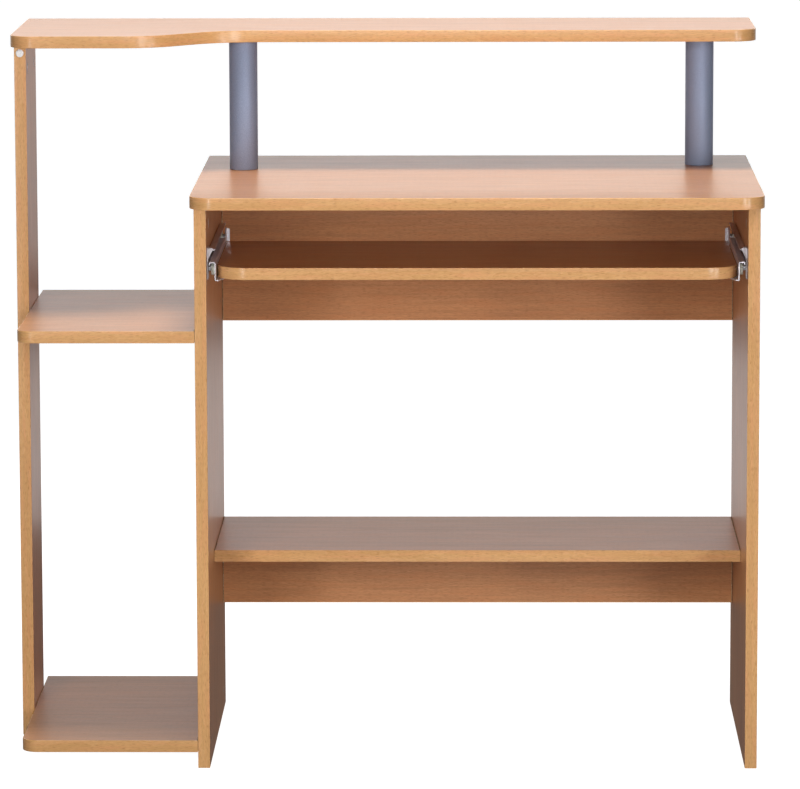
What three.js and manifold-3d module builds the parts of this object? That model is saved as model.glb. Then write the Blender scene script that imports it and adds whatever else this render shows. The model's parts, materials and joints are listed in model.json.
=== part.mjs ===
// Computer desk with a keyboard tray and a monitor shelf, in millimetres, Z up.
//
// Working axes: x = 0 is the outer face of the left side panel, y = 0 is the plane of the side
// panels' front edges (+y runs to the back) and z = 0 is the floor. The last lines move every
// piece so that the origin is the centre of the footprint, on the floor.

import * as THREE from 'three';
import { mergeVertices } from 'three/addons/utils/BufferGeometryUtils.js';
import Module from 'manifold-3d';

const wasm = await Module();
wasm.setup();

// ---------------------------------------------------------------- driving dimensions

const BOARD = 15;               // thickness of every board
const GAP = 0.3;                // clearance between pieces that meet
const DESK_WIDTH = 700;         // over the outer faces of the two side panels
const DESK_HEIGHT = 730;        // floor to the desktop's upper face
const DESK_DEPTH = 500;         // front to back of the desktop
const PANEL_DEPTH = 400;        // front to back of the side panels and the bay shelves
const TOTAL_HEIGHT = 910;       // floor to the monitor shelf's upper face
const BAY_WIDTH = 222;          // clear width of the open bay beside the desk
const TRAVEL_CLEARANCE = 12;    // side panel to keyboard tray, on each side
const LARGE_CORNER = 30;        // radius of the rounded front corners of the big tops
const SMALL_CORNER = 20;        // the same on the bay shelves

// ---------------------------------------------------------------- derived levels and planes

const DESKTOP_UNDERSIDE = DESK_HEIGHT - BOARD;
const MONITOR_SHELF_UNDERSIDE = TOTAL_HEIGHT - BOARD;
const INNER_LEFT = BOARD;
const INNER_RIGHT = DESK_WIDTH - BOARD;
const BACK = PANEL_DEPTH;
const UPRIGHT_INNER = -BAY_WIDTH;
const UPRIGHT_OUTER = UPRIGHT_INNER - BOARD;

const DESKTOP_SIDE_OVERHANG = 1;

const UPRIGHT_FRONT = 195;
const UPRIGHT_DEPTH = 145;

const BOTTOM_SHELF_Z = 20;
const MIDDLE_SHELF_Z = 538;

const LOWER_SHELF = { front: 135, depth: 250, z: 238, screwInset: 45 };
const STRETCHER = { front: 345, height: 93, screwDrop: 48 };
const BACK_PANEL = { height: 201, upperScrewDrop: 35, lowerScrewDrop: 140 };

const MONITOR_SHELF = {
  left: -236,
  right: 704,
  deepFront: 110,               // front edge over the bay
  shallowFront: 200,            // front edge over the desktop
  sweepStart: -58,              // where the front edge leaves the deep part
  sweepEnd: 26,                 // where it reaches the shallow part
  sweepRadiusOut: 90,
  sweepRadiusIn: 110,
};

const TRAY = { depth: 280, z: 617, corner: 40 };

const POST = { radius: 18, wall: 1.5, plugHeight: 12 };
const POST_PLACES = {
  left: [52, 235],
  right: [635, 285],
};

// ---------------------------------------------------------------- materials

function finish(color, roughness, metalness) {
  return new THREE.MeshStandardMaterial({ color, roughness, metalness });
}

const BEECH = finish(0xdcb184, 0.4, 0);
const POST_PAINT = finish(0x7d8296, 0.35, 0.6);
const ZINC = finish(0xb9b7bd, 0.35, 0.9);
const STEEL = finish(0x9a9a9c, 0.4, 0.9);
const NYLON = finish(0xd9dccb, 0.5, 0);
const WHITE_PLASTIC = finish(0xf0f0ee, 0.4, 0);
const GREY_PLASTIC = finish(0x54565c, 0.6, 0);

// ---------------------------------------------------------------- geometry helpers

const UP = new THREE.Vector3(0, 0, 1);
const TO_FRONT = new THREE.Vector3(0, -1, 0);
const TO_RIGHT = new THREE.Vector3(1, 0, 0);
const TO_LEFT = new THREE.Vector3(-1, 0, 0);

// Merges the corners that faces share and drops triangles that have no area.
function welded(geometry) {
  const bare = geometry.clone();
  bare.deleteAttribute('normal');
  bare.deleteAttribute('uv');
  const merged = mergeVertices(bare, 1e-4);
  const index = merged.index.array;
  const kept = [];
  for (let i = 0; i < index.length; i += 3) {
    const [a, b, c] = index.slice(i, i + 3);
    if (a !== b && b !== c && c !== a) kept.push(a, b, c);
  }
  merged.setIndex(kept);
  return merged;
}

function solidFrom(geometry) {
  const closed = welded(geometry);
  return new wasm.Manifold(new wasm.Mesh({
    numProp: 3,
    vertProperties: new Float32Array(closed.attributes.position.array),
    triVerts: new Uint32Array(closed.index.array),
  }));
}

function geometryFrom(solid) {
  const mesh = solid.getMesh();
  const geometry = new THREE.BufferGeometry();
  geometry.setAttribute('position', new THREE.BufferAttribute(mesh.vertProperties, 3));
  geometry.setIndex(new THREE.BufferAttribute(mesh.triVerts, 1));
  return geometry;
}

function cut(geometry, tools) {
  let solid = solidFrom(geometry);
  for (const tool of tools) solid = solid.subtract(solidFrom(tool));
  return geometryFrom(solid);
}

function joined(geometries) {
  let solid = solidFrom(geometries[0]);
  for (const other of geometries.slice(1)) solid = solid.add(solidFrom(other));
  return geometryFrom(solid);
}

// The other hand of a piece, reflected in the desk's middle plane.
function mirrored(geometry) {
  const other = welded(geometry);
  const position = other.attributes.position;
  for (let i = 0; i < position.count; i += 1) {
    position.setX(i, DESK_WIDTH - position.getX(i));
  }
  const index = other.index.array;
  for (let i = 0; i < index.length; i += 3) {
    [index[i + 1], index[i + 2]] = [index[i + 2], index[i + 1]];
  }
  return other;
}

function block([x0, x1], [y0, y1], [z0, z1]) {
  const geometry = new THREE.BoxGeometry(x1 - x0, y1 - y0, z1 - z0);
  geometry.translate((x0 + x1) / 2, (y0 + y1) / 2, (z0 + z1) / 2);
  return geometry;
}

// An outline from corners [x, y] or [x, y, radius]; a corner with a radius becomes an arc.
function outline(corners, segments = 6) {
  const points = [];
  corners.forEach(([x, y, radius = 0], i) => {
    const corner = new THREE.Vector2(x, y);
    if (radius === 0) {
      points.push(corner);
      return;
    }
    const [beforeX, beforeY] = corners[(i + corners.length - 1) % corners.length];
    const [afterX, afterY] = corners[(i + 1) % corners.length];
    const toBefore = new THREE.Vector2(beforeX, beforeY).sub(corner).normalize();
    const toAfter = new THREE.Vector2(afterX, afterY).sub(corner).normalize();
    const halfAngle = Math.acos(toBefore.dot(toAfter)) / 2;
    const bisector = toBefore.clone().add(toAfter).normalize();
    const centre = corner.clone().addScaledVector(bisector, radius / Math.sin(halfAngle));
    const start = corner.clone().addScaledVector(toBefore, radius / Math.tan(halfAngle));
    const turn = Math.sign(toAfter.cross(toBefore)) * (Math.PI - 2 * halfAngle);
    for (let k = 0; k <= segments; k += 1) {
      points.push(start.clone().rotateAround(centre, (turn * k) / segments));
    }
  });
  return new THREE.Shape(points);
}

// A flat board whose outline is drawn in plan.
function plate(corners, [z0, z1]) {
  const geometry = new THREE.ExtrudeGeometry(outline(corners), {
    depth: z1 - z0,
    bevelEnabled: false,
  });
  geometry.translate(0, 0, z0);
  return geometry;
}

// A sheet whose outline is drawn on the side elevation, as [y, z] corners.
function sideSheet(corners, [x0, x1]) {
  const geometry = new THREE.ExtrudeGeometry(outline(corners), {
    depth: x1 - x0,
    bevelEnabled: false,
  });
  const elevationToSpace = new THREE.Matrix4().set(
    0, 0, 1, x0,
    1, 0, 0, 0,
    0, 1, 0, 0,
    0, 0, 0, 1,
  );
  geometry.applyMatrix4(elevationToSpace);
  return geometry;
}

// A sheet whose outline is drawn on the front elevation, as [x, z] corners.
function frontSheet(corners, [y0, y1]) {
  const geometry = new THREE.ExtrudeGeometry(outline(corners), {
    depth: y1 - y0,
    bevelEnabled: false,
  });
  geometry.rotateX(Math.PI / 2);
  geometry.translate(0, y1, 0);
  return geometry;
}

// A turned piece: its profile of [radius, distance] runs from place along direction.
function turned(profile, direction, place, segments = 16) {
  const points = profile.map(([radius, distance]) => new THREE.Vector2(radius, distance));
  const geometry = new THREE.LatheGeometry(points, segments);
  const spin = new THREE.Quaternion().setFromUnitVectors(new THREE.Vector3(0, 1, 0), direction);
  geometry.applyQuaternion(spin);
  geometry.translate(...place);
  return geometry;
}

function drill(radius, length, direction, place, segments = 16) {
  const profile = [[0, 0], [radius, 0], [radius, length], [0, length]];
  return turned(profile, direction, place, segments);
}

// ---------------------------------------------------------------- the list of pieces

const desk = new THREE.Group();
const boards = {};              // geometry of each board, before its holes are drilled
const holes = {};               // the holes to drill in each board

function add(name, geometry, material) {
  const mesh = new THREE.Mesh(welded(geometry), material);
  mesh.name = name;
  desk.add(mesh);
}

function addBoard(name, geometry) {
  boards[name] = geometry;
  holes[name] = [];
}

// ---------------------------------------------------------------- boards

function roundedTop([x0, x1], [y0, y1], leftCorner, rightCorner) {
  return [
    [x0, y0, leftCorner],
    [x1, y0, rightCorner],
    [x1, y1],
    [x0, y1],
  ];
}

function makeBoards() {
  const depth = [0, PANEL_DEPTH];
  const panelHeight = [0, DESKTOP_UNDERSIDE - GAP];
  const between = [INNER_LEFT + GAP, INNER_RIGHT - GAP];

  addBoard('left_side_panel', block([0, BOARD], depth, panelHeight));
  addBoard('right_side_panel', block([INNER_RIGHT, DESK_WIDTH], depth, panelHeight));

  const desktopX = [-DESKTOP_SIDE_OVERHANG, DESK_WIDTH + DESKTOP_SIDE_OVERHANG];
  const desktopY = [BACK - DESK_DEPTH, BACK];
  addBoard('desktop', plate(
    roundedTop(desktopX, desktopY, LARGE_CORNER, LARGE_CORNER),
    [DESKTOP_UNDERSIDE, DESK_HEIGHT],
  ));

  addBoard('upper_back_panel', block(
    between,
    [BACK - BOARD, BACK],
    [DESKTOP_UNDERSIDE - BACK_PANEL.height, DESKTOP_UNDERSIDE - GAP],
  ));
  addBoard('lower_shelf', block(
    between,
    [LOWER_SHELF.front, LOWER_SHELF.front + LOWER_SHELF.depth],
    [LOWER_SHELF.z, LOWER_SHELF.z + BOARD],
  ));
  addBoard('lower_stretcher', block(
    between,
    [STRETCHER.front, STRETCHER.front + BOARD],
    [LOWER_SHELF.z - STRETCHER.height, LOWER_SHELF.z - GAP],
  ));

  addBoard('upright', block(
    [UPRIGHT_OUTER, UPRIGHT_INNER],
    [UPRIGHT_FRONT, UPRIGHT_FRONT + UPRIGHT_DEPTH],
    [0, MONITOR_SHELF_UNDERSIDE - GAP],
  ));
  for (const [name, z] of [['middle_shelf', MIDDLE_SHELF_Z], ['bottom_shelf', BOTTOM_SHELF_Z]]) {
    addBoard(name, plate(
      roundedTop([UPRIGHT_INNER + GAP, -GAP], depth, SMALL_CORNER, 0),
      [z, z + BOARD],
    ));
  }

  const s = MONITOR_SHELF;
  const monitorShelf = [
    [s.left, s.deepFront, LARGE_CORNER],
    [s.sweepStart, s.deepFront, s.sweepRadiusOut],
    [s.sweepEnd, s.shallowFront, s.sweepRadiusIn],
    [s.right, s.shallowFront, LARGE_CORNER],
    [s.right, BACK],
    [s.left, BACK],
  ];
  addBoard('monitor_shelf', plate(monitorShelf, [MONITOR_SHELF_UNDERSIDE, TOTAL_HEIGHT]));

  const trayX = [INNER_LEFT + TRAVEL_CLEARANCE, INNER_RIGHT - TRAVEL_CLEARANCE];
  addBoard('keyboard_tray', plate(
    roundedTop(trayX, [0, TRAY.depth], TRAY.corner, TRAY.corner),
    [TRAY.z, TRAY.z + BOARD],
  ));
}

// ---------------------------------------------------------------- joining screws

const SCREW = {
  length: 50,
  headRadius: 4.9,
  shankRadius: 3.4,
  sunk: 0.2,                    // the head lies this far below the board's face
  rim: 1,
  pointLength: 4,
  pointRadius: 1,
};
const SHELF_SCREW_INSET = 50;   // from the front and rear edges of a bay shelf
const UPRIGHT_SCREW_INSET = 30; // from the front and rear edges of the upright

const CONE_START = SCREW.sunk + SCREW.rim;
const CONE_END = CONE_START + SCREW.headRadius - SCREW.shankRadius;

// Both profiles start at the face of the board that the screw goes through.
function screwProfile() {
  return [
    [0, SCREW.sunk],
    [SCREW.headRadius, SCREW.sunk],
    [SCREW.headRadius, CONE_START],
    [SCREW.shankRadius, CONE_END],
    [SCREW.shankRadius, SCREW.length - SCREW.pointLength],
    [SCREW.pointRadius, SCREW.length],
    [0, SCREW.length],
  ];
}

function screwHoleProfile() {
  return [
    [0, -1],
    [SCREW.headRadius + GAP, -1],
    [SCREW.headRadius + GAP, CONE_START],
    [SCREW.shankRadius + GAP, CONE_END],
    [SCREW.shankRadius + GAP, SCREW.length + GAP],
    [0, SCREW.length + GAP],
  ];
}

function addScrew(name, place, direction, throughBoard, intoBoard) {
  const hole = turned(screwHoleProfile(), direction, place, 10);
  holes[throughBoard].push(hole);
  holes[intoBoard].push(hole);
  add(name, turned(screwProfile(), direction, place, 10), STEEL);
}

function addShelfScrews(shelf, shelfZ) {
  const z = shelfZ + BOARD / 2;
  const panelRows = { front: SHELF_SCREW_INSET, rear: PANEL_DEPTH - SHELF_SCREW_INSET };
  for (const [end, y] of Object.entries(panelRows)) {
    const place = [INNER_LEFT, y, z];
    addScrew(`${shelf}_screw_right_${end}`, place, TO_LEFT, 'left_side_panel', shelf);
  }
  const uprightRows = { front: UPRIGHT_SCREW_INSET, rear: UPRIGHT_DEPTH - UPRIGHT_SCREW_INSET };
  for (const [end, inset] of Object.entries(uprightRows)) {
    const place = [UPRIGHT_OUTER, UPRIGHT_FRONT + inset, z];
    addScrew(`${shelf}_screw_left_${end}`, place, TO_RIGHT, 'upright', shelf);
  }
}

function addCrossPieceScrews(name, board, y, z) {
  addScrew(`${name}_left`, [0, y, z], TO_RIGHT, 'left_side_panel', board);
  addScrew(`${name}_right`, [DESK_WIDTH, y, z], TO_LEFT, 'right_side_panel', board);
}

function addScrews() {
  addShelfScrews('middle_shelf', MIDDLE_SHELF_Z);
  addShelfScrews('bottom_shelf', BOTTOM_SHELF_Z);

  const backPanelRows = { upper: BACK_PANEL.upperScrewDrop, lower: BACK_PANEL.lowerScrewDrop };
  for (const [row, drop] of Object.entries(backPanelRows)) {
    const name = `back_panel_screw_${row}`;
    addCrossPieceScrews(name, 'upper_back_panel', BACK - BOARD / 2, DESKTOP_UNDERSIDE - drop);
  }
  addCrossPieceScrews(
    'lower_shelf_screw',
    'lower_shelf',
    LOWER_SHELF.front + LOWER_SHELF.screwInset,
    LOWER_SHELF.z + BOARD / 2,
  );
  addCrossPieceScrews(
    'stretcher_screw',
    'lower_stretcher',
    STRETCHER.front + BOARD / 2,
    LOWER_SHELF.z - STRETCHER.screwDrop,
  );
}

// ---------------------------------------------------------------- cam locks

const CAM = {
  radius: 7.2,
  depth: 12,
  sunk: 0.2,
  fromEdge: 34,                 // from the board's upper edge to the cam's middle
  slotLength: 9,
  slotWidth: 1.6,
  slotDepth: 1.8,
  mouthRadius: 3.8,
};
const CAM_BOLT = {
  footRadius: 3.1,
  neckRadius: 1.9,
  shankRadius: 3,
  footLength: 2.5,
  neckLength: 3.5,
  intoBoard: 10,
};
const UPRIGHT_CAM_INSET = 25;   // from the front and rear edges of the upright
const PANEL_CAM_INSET = 60;     // from the front and rear edges of a side panel

// The bolt hangs from the board above: its foot is held in the cam.
function camBoltProfile(length) {
  const { footRadius, neckRadius, shankRadius, footLength, neckLength } = CAM_BOLT;
  const neckEnd = footLength + neckLength;
  return [
    [0, 0],
    [footRadius, 0],
    [footRadius, footLength],
    [neckRadius, footLength],
    [neckRadius, neckEnd],
    [shankRadius, neckEnd],
    [shankRadius, length],
    [0, length],
  ];
}

// The cam sits in the face of board at x = faceX; outward points out of that face.
function addCamLock(name, { board, boardAbove, boardTop, faceX, outward, y }) {
  const z = boardTop - CAM.fromEdge;
  const middleX = faceX - (outward.x * BOARD) / 2;
  const inward = outward.clone().negate();
  const camFace = faceX - outward.x * CAM.sunk;

  const camHole = { radius: CAM.radius + GAP, depth: CAM.sunk + CAM.depth + GAP };
  holes[board].push(drill(camHole.radius, camHole.depth + 1, inward, [faceX + outward.x, y, z], 20));

  const reach = [CAM.slotLength / 2, CAM.slotWidth / 2];
  const slots = [reach, [...reach].reverse()].map(([alongY, alongZ]) => block(
    [camFace - CAM.slotDepth, camFace + CAM.slotDepth],
    [y - alongY, y + alongY],
    [z - alongZ, z + alongZ],
  ));
  const mouth = drill(CAM.mouthRadius, 2 * CAM.radius, UP, [middleX, y, z - 3], 12);
  const body = drill(CAM.radius, CAM.depth, inward, [camFace, y, z], 20);
  add(`${name}_cam`, cut(body, [...slots, mouth]), ZINC);

  const boltFoot = z - 1;
  const length = boardTop + GAP + CAM_BOLT.intoBoard - boltFoot;
  const hole = drill(CAM_BOLT.footRadius + GAP, length + 2 * GAP, UP, [middleX, y, boltFoot - GAP], 10);
  holes[board].push(hole);
  holes[boardAbove].push(hole);
  add(`${name}_bolt`, turned(camBoltProfile(length), UP, [middleX, y, boltFoot], 10), STEEL);
}

function addCamLocks() {
  const uprightRows = { front: UPRIGHT_CAM_INSET, rear: UPRIGHT_DEPTH - UPRIGHT_CAM_INSET };
  for (const [end, inset] of Object.entries(uprightRows)) {
    addCamLock(`upright_${end}`, {
      board: 'upright',
      boardAbove: 'monitor_shelf',
      boardTop: MONITOR_SHELF_UNDERSIDE - GAP,
      faceX: UPRIGHT_INNER,
      outward: TO_RIGHT,
      y: UPRIGHT_FRONT + inset,
    });
  }
  const panels = { left: [INNER_LEFT, TO_RIGHT], right: [INNER_RIGHT, TO_LEFT] };
  const panelRows = { front: PANEL_CAM_INSET, rear: PANEL_DEPTH - PANEL_CAM_INSET };
  for (const [side, [faceX, outward]] of Object.entries(panels)) {
    for (const [end, y] of Object.entries(panelRows)) {
      addCamLock(`${side}_panel_${end}`, {
        board: `${side}_side_panel`,
        boardAbove: 'desktop',
        boardTop: DESKTOP_UNDERSIDE - GAP,
        faceX,
        outward,
        y,
      });
    }
  }
}

// ---------------------------------------------------------------- cover cap of the upright

const CAP = {
  drop: 13,                     // below the monitor shelf's underside
  radius: 5,
  thickness: 1.5,
  rounding: 0.7,
  dimpleRadius: 1.5,
  dimpleDepth: 0.5,
  stemRadius: 3.5,
  stemLength: 8,
};

// Closes a blind hole in the upright's front edge.
function addCoverCap() {
  const x = (UPRIGHT_OUTER + UPRIGHT_INNER) / 2;
  const z = MONITOR_SHELF_UNDERSIDE - CAP.drop;
  const stemEnd = UPRIGHT_FRONT + CAP.stemLength;
  const holeStart = [x, stemEnd + GAP, z];
  holes.upright.push(drill(CAP.stemRadius + GAP, CAP.stemLength + 1, TO_FRONT, holeStart, 16));

  const back = CAP.stemLength + GAP;
  const front = back + CAP.thickness;
  const profile = [
    [0, 0],
    [CAP.stemRadius, 0],
    [CAP.stemRadius, back],
    [CAP.radius, back],
    [CAP.radius, front - CAP.rounding],
    [CAP.radius - CAP.rounding, front],
    [CAP.dimpleRadius, front],
    [0, front - CAP.dimpleDepth],
  ];
  add('upright_cover_cap', turned(profile, TO_FRONT, [x, stemEnd, z], 16), WHITE_PLASTIC);
}

// ---------------------------------------------------------------- posts of the monitor shelf

function ring(outer, inner, [z0, z1], [x, y], segments) {
  const height = z1 - z0;
  const profile = [[inner, 0], [outer, 0], [outer, height], [inner, height], [inner, 0]];
  return turned(profile, UP, [x, y, z0], segments);
}

const POST_BOLT = { radius: 3, headRadius: 7, headHeight: 2.7, headRounding: 1.2, intoShelf: 8 };

// A tube with a plug in each end, clamped by one long bolt from under the desktop.
function addPost(side) {
  const [x, y] = POST_PLACES[side];
  const foot = DESK_HEIGHT + GAP;
  const top = MONITOR_SHELF_UNDERSIDE - GAP;
  const inner = POST.radius - POST.wall;
  add(`post_${side}`, ring(POST.radius, inner, [foot, top], [x, y], 32), POST_PAINT);

  const levels = { lower: [foot, foot + POST.plugHeight], upper: [top - POST.plugHeight, top] };
  for (const [end, level] of Object.entries(levels)) {
    const plug = ring(inner - GAP, POST_BOLT.radius + GAP, level, [x, y], 16);
    add(`post_${side}_${end}_plug`, plug, GREY_PLASTIC);
  }

  const { radius, headRadius, headHeight, headRounding, intoShelf } = POST_BOLT;
  const boltFoot = DESKTOP_UNDERSIDE - GAP - headHeight;
  const length = MONITOR_SHELF_UNDERSIDE + intoShelf - boltFoot;
  const profile = [
    [0, 0],
    [headRadius - headRounding, 0],
    [headRadius, headRounding],
    [headRadius, headHeight],
    [radius, headHeight],
    [radius, length],
    [0, length],
  ];
  add(`post_${side}_bolt`, turned(profile, UP, [x, y, boltFoot], 12), STEEL);
  const hole = drill(radius + GAP, length + GAP, UP, [x, y, boltFoot], 12);
  holes.desktop.push(hole);
  holes.monitor_shelf.push(hole);
}

// ---------------------------------------------------------------- roller slides of the tray
//
// Drawn for the left side, with u the distance out from the side panel's inner face. The
// runner is screwed to the panel and carries a roller at its front. The carrier is screwed
// to the tray, rides on that roller and carries the second roller in the runner's channel.

const SHEET = 1.2;              // thickness of the slides' steel
const TRAY_TOP = TRAY.z + BOARD;

const ROLLER = {
  radius: 9,
  width: 5,
  boreRadius: 2.8,
  recessRadius: 4.4,            // the recess takes the pin's head
  recessDepth: 1.6,
};
const PIN = { shoulderRadius: 4, headRadius: 4, headThickness: 1, sunk: 0.2 };

const CARRIER = {
  web: TRAVEL_CLEARANCE - GAP - SHEET,
  front: 2,
  railBack: 258,
  back: 284,
  bottom: TRAY.z - GAP - SHEET,
  railTop: TRAY_TOP + 7,
  railWidth: 8.2,
  hookDrop: 3.7,                // the rail's free edge turns down by this much
  footWidth: 11.5,              // under the tray
  footLip: 4.5,                 // its width at the front, before it widens
  footSlant: 24,                // how far back it reaches its full width
  rearTop: TRAY_TOP + 18,
  rearLength: 18,
  tabWidth: 4,
  tabDrop: 2,
};
const FRONT_ROLLER = {
  y: 32,
  z: CARRIER.railTop - SHEET - GAP - ROLLER.radius,
  u: CARRIER.web - 0.4 - ROLLER.width,
};
const REAR_ROLLER = {
  y: 272,
  z: FRONT_ROLLER.z + 9.5,
  u: GAP + SHEET + 0.7,
};
const RUNNER = {
  front: 18,
  channelFront: 48,
  back: 330,
  channelBottom: REAR_ROLLER.z - ROLLER.radius - GAP - SHEET,
  channelTop: REAR_ROLLER.z + ROLLER.radius + 1.3 + SHEET,
  flangeWidth: 8.2,
  frontBottom: TRAY.z - 2,
  frontTop: TRAY_TOP + 22.5,
  frontCorner: 3,
  shoulder: 5,                  // the front plate slopes down to the channel over twice this
  tabWidth: 7,
  tabHeight: 13.5,
  tabTip: 2,
};

function rollerPlace(roller, u) {
  return [INNER_LEFT + u, roller.y, roller.z];
}

// The hole for a roller's pin, through a sheet whose back is at sheetU.
function pinHole(roller, sheetU) {
  return drill(ROLLER.boreRadius, SHEET + 2, TO_RIGHT, rollerPlace(roller, sheetU - 1), 12);
}

function runnerGeometry() {
  const r = RUNNER;
  const back = INNER_LEFT + GAP;
  const webX = [back, back + SHEET];
  const web = sideSheet([
    [r.front, r.frontBottom, r.frontCorner],
    [r.channelFront - r.frontCorner - r.shoulder, r.frontBottom, r.frontCorner],
    [r.channelFront, r.channelBottom],
    [r.back, r.channelBottom],
    [r.back, r.channelTop],
    [r.channelFront + r.shoulder, r.channelTop],
    [r.channelFront - r.shoulder, r.frontTop],
    [r.front, r.frontTop],
  ], webX);
  const flangeX = [back, back + r.flangeWidth];
  const channelY = [r.channelFront, r.back];
  const lowerFlange = block(flangeX, channelY, [r.channelBottom, r.channelBottom + SHEET]);
  const upperFlange = block(flangeX, channelY, [r.channelTop - SHEET, r.channelTop]);
  const stopTab = frontSheet([
    [back, r.frontTop - r.tabHeight],
    [back + SHEET, r.frontTop - r.tabHeight],
    [back + r.tabWidth, r.frontTop - r.tabTip],
    [back + r.tabWidth, r.frontTop],
    [back, r.frontTop],
  ], [r.front, r.front + SHEET]);
  return cut(joined([web, lowerFlange, upperFlange, stopTab]), [pinHole(FRONT_ROLLER, GAP)]);
}

function carrierGeometry() {
  const c = CARRIER;
  const webX = [INNER_LEFT + c.web, INNER_LEFT + c.web + SHEET];
  const web = sideSheet([
    [c.front, c.bottom],
    [c.back, c.bottom],
    [c.back, c.rearTop, 2],
    [c.back - c.rearLength, c.rearTop, 2],
    [c.railBack, c.railTop],
    [c.front, c.railTop],
  ], webX);
  const railX = [webX[1] - c.railWidth, webX[1]];
  const railY = [c.front, c.railBack];
  const rail = block(railX, railY, [c.railTop - SHEET, c.railTop]);
  const hook = block([railX[0], railX[0] + SHEET], railY, [c.railTop - c.hookDrop, c.railTop]);
  const footX = [webX[0], webX[0] + c.footWidth];
  const foot = plate([
    [footX[0], c.front],
    [footX[0] + c.footLip, c.front],
    [footX[1], c.front + c.footSlant],
    [footX[1], c.back],
    [footX[0], c.back],
  ], [c.bottom, c.bottom + SHEET]);
  const tabX = [webX[0], webX[1] + c.tabWidth];
  const tab = block(tabX, [c.back - SHEET, c.back], [c.bottom, c.rearTop - c.tabDrop]);
  return cut(joined([web, rail, hook, foot, tab]), [pinHole(REAR_ROLLER, c.web)]);
}

// The recess for the pin's head is at the far end of direction.
function rollerGeometry(direction, place) {
  const { radius, width, boreRadius, recessRadius, recessDepth } = ROLLER;
  const profile = [
    [boreRadius, 0],
    [radius, 0],
    [radius, width],
    [recessRadius, width],
    [recessRadius, width - recessDepth],
    [boreRadius, width - recessDepth],
    [boreRadius, 0],
  ];
  return turned(profile, direction, place, 24);
}

// A pin starts in the sheet's hole, has a shoulder that fills standOff, the distance from the
// sheet to the roller, and ends in a head that keeps the roller on.
function pinGeometry(standOff, direction, place) {
  const radius = ROLLER.boreRadius - GAP;
  const shoulderStart = SHEET - PIN.sunk + GAP;
  const shoulderEnd = shoulderStart + standOff - 2 * GAP;
  const headStart = shoulderEnd + GAP + ROLLER.width - ROLLER.recessDepth + GAP;
  const headEnd = headStart + PIN.headThickness;
  const profile = [
    [0, 0],
    [radius, 0],
    [radius, shoulderStart],
    [PIN.shoulderRadius, shoulderStart],
    [PIN.shoulderRadius, shoulderEnd],
    [radius, shoulderEnd],
    [radius, headStart],
    [PIN.headRadius, headStart],
    [PIN.headRadius, headEnd],
    [0, headEnd],
  ];
  return turned(profile, direction, place, 12);
}

function addSlides() {
  const frontStandOff = FRONT_ROLLER.u - SHEET - GAP;
  const frontPinPlace = rollerPlace(FRONT_ROLLER, GAP + PIN.sunk);
  const rearRollerFace = REAR_ROLLER.u + ROLLER.width;
  const rearStandOff = CARRIER.web - rearRollerFace;
  const rearPinPlace = rollerPlace(REAR_ROLLER, CARRIER.web + SHEET - PIN.sunk);
  const pieces = {
    runner: [runnerGeometry(), ZINC],
    carrier: [carrierGeometry(), ZINC],
    front_roller: [
      rollerGeometry(TO_RIGHT, rollerPlace(FRONT_ROLLER, FRONT_ROLLER.u)),
      NYLON,
    ],
    rear_roller: [
      rollerGeometry(TO_LEFT, rollerPlace(REAR_ROLLER, rearRollerFace)),
      NYLON,
    ],
    front_roller_pin: [pinGeometry(frontStandOff, TO_RIGHT, frontPinPlace), STEEL],
    rear_roller_pin: [pinGeometry(rearStandOff, TO_LEFT, rearPinPlace), STEEL],
  };
  for (const [piece, [geometry, material]] of Object.entries(pieces)) {
    add(`left_${piece}`, geometry, material);
    add(`right_${piece}`, mirrored(geometry), material);
  }
}

// ---------------------------------------------------------------- assembly

makeBoards();
addScrews();
addCamLocks();
addCoverCap();
for (const side of Object.keys(POST_PLACES)) addPost(side);
addSlides();
for (const [name, geometry] of Object.entries(boards)) {
  add(name, cut(geometry, holes[name]), BEECH);
}

const footprint = new THREE.Box3().setFromObject(desk);
const middle = footprint.getCenter(new THREE.Vector3());
for (const mesh of desk.children) {
  mesh.geometry.translate(-middle.x, -middle.y, 0);
}

export default desk;
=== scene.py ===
"""The looks of a computer desk with a keyboard tray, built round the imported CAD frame. Metres, Z up."""

import json
import math
import random

import bmesh
import bpy
from mathutils import Matrix, Vector

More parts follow.
